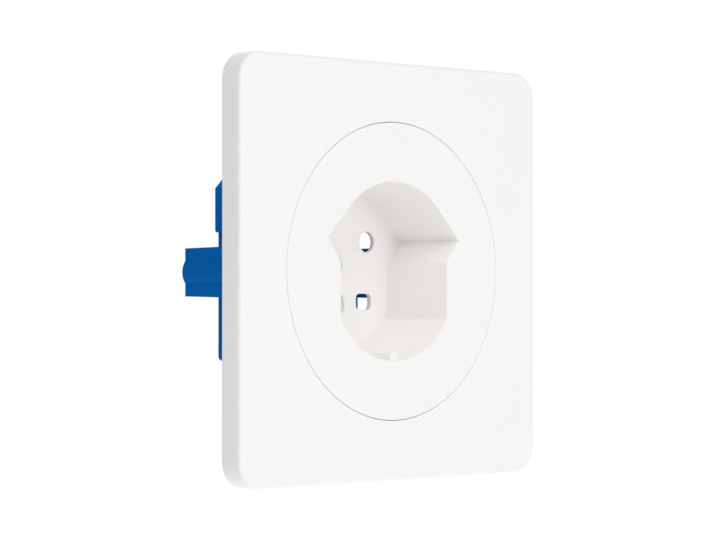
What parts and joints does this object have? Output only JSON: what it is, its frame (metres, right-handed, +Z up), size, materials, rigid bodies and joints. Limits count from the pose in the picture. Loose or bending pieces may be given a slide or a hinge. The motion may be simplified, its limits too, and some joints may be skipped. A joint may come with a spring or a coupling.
{
  "type": "flush wall socket",
  "caption": "Flush wall socket with a square cover frame, a round insert with a deep shaped plug recess, and a contact base with screw terminals behind the wall plane.",
  "frame": {"origin": "centre of the wall plane, midway between the two slots for the wall box's screws", "axes": "+X to the right as seen from the front, +Y into the wall, +Z up; the front faces -Y"},
  "size_m": [0.086, 0.0399, 0.086],
  "materials": {
    "frame_white": "satin",
    "insert_white": "satin",
    "base_blue": "satin",
    "brass": "bright",
    "steel": "zinc plated"
  },
  "bodies": {
    "root": {"cover_frame": "frame_white", "front_insert": "insert_white", "mounting_plate": "base_blue", "contact_base": "base_blue", "rear_cover": "base_blue", "screw_bush": "brass", "insert_screw": "steel", "plate_screws": "steel", "cover_screw": "steel", "terminal_screws": "steel", "contact_phase_1": "brass", "spring_phase_1": "steel", "clamp_phase_1": "steel", "contact_neutral": "brass", "spring_neutral": "steel", "clamp_neutral": "steel", "contact_earth": "brass", "spring_earth": "steel", "clamp_earth": "steel", "contact_phase_2": "brass", "spring_phase_2": "steel", "clamp_phase_2": "steel", "contact_phase_3": "brass", "spring_phase_3": "steel", "clamp_phase_3": "steel"}
  },
  "joints": []
}
